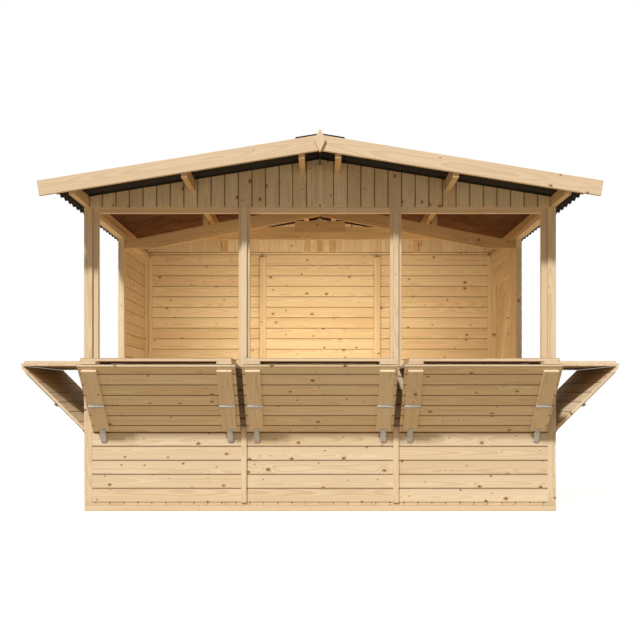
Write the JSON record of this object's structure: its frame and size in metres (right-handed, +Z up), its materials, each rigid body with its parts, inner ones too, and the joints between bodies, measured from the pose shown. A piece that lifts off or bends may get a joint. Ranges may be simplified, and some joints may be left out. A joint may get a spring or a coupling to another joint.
{
  "type": "wooden market hut",
  "caption": "Timber market hut with low pitched corrugated roof, board walls, folded-out counters on front and sides, and a hinged side door.",
  "frame": {"origin": "middle of the footprint, on the ground", "axes": "+X to the right along the front, +Y from the front to the back, +Z up"},
  "size_m": [3.8216, 2.7488, 2.318],
  "materials": {
    "pine": "matte",
    "timber": "matte",
    "roofing": "matte",
    "galvanised": "satin"
  },
  "bodies": {
    "hut": {"floor_bearers": "timber", "floor_deck": "timber", "front_wall": "pine", "front_posts": "pine", "front_rails": "pine", "left_wall": "pine", "right_wall": "pine", "over_door_wall": "pine", "window_facings": "pine", "side_posts": "pine", "side_rails": "pine", "door_jambs": "pine", "door_head": "pine", "back_wall": "pine", "back_posts": "pine", "back_rails": "pine", "front_gable": "pine", "back_gable": "pine", "gable_studs": "pine", "eave_purlins": "timber", "middle_purlins": "timber", "ridge_purlins": "timber", "truss_rafters": "timber", "truss_tie": "timber", "splice_plates": "timber", "truss_cleats": "timber", "roof_sheet_left": "roofing", "roof_sheet_right": "roofing", "ridge_cap": "roofing", "front_bargeboards": "pine", "back_bargeboards": "pine", "finials": "pine", "post_strips": "pine", "panel_strips": "pine", "gable_strips": "pine", "counter_leaves": "pine", "support_leaves": "pine", "counter_battens": "pine", "support_battens": "pine", "counter_tops": "pine", "counter_straps": "galvanised", "counter_hasps": "galvanised", "hinge_plates": "galvanised"},
    "door": {"door_boards": "pine", "door_ledges": "pine", "door_braces": "pine", "door_straps": "galvanised", "door_latch": "galvanised"}
  },
  "joints": [
    {"name": "door_hinge", "type": "hinge", "parent": "hut", "child": "door", "pos_m": [1.509, 0.914, 0.9], "axis": [0, 0, 1], "range_deg": [0, 165]}
  ]
}
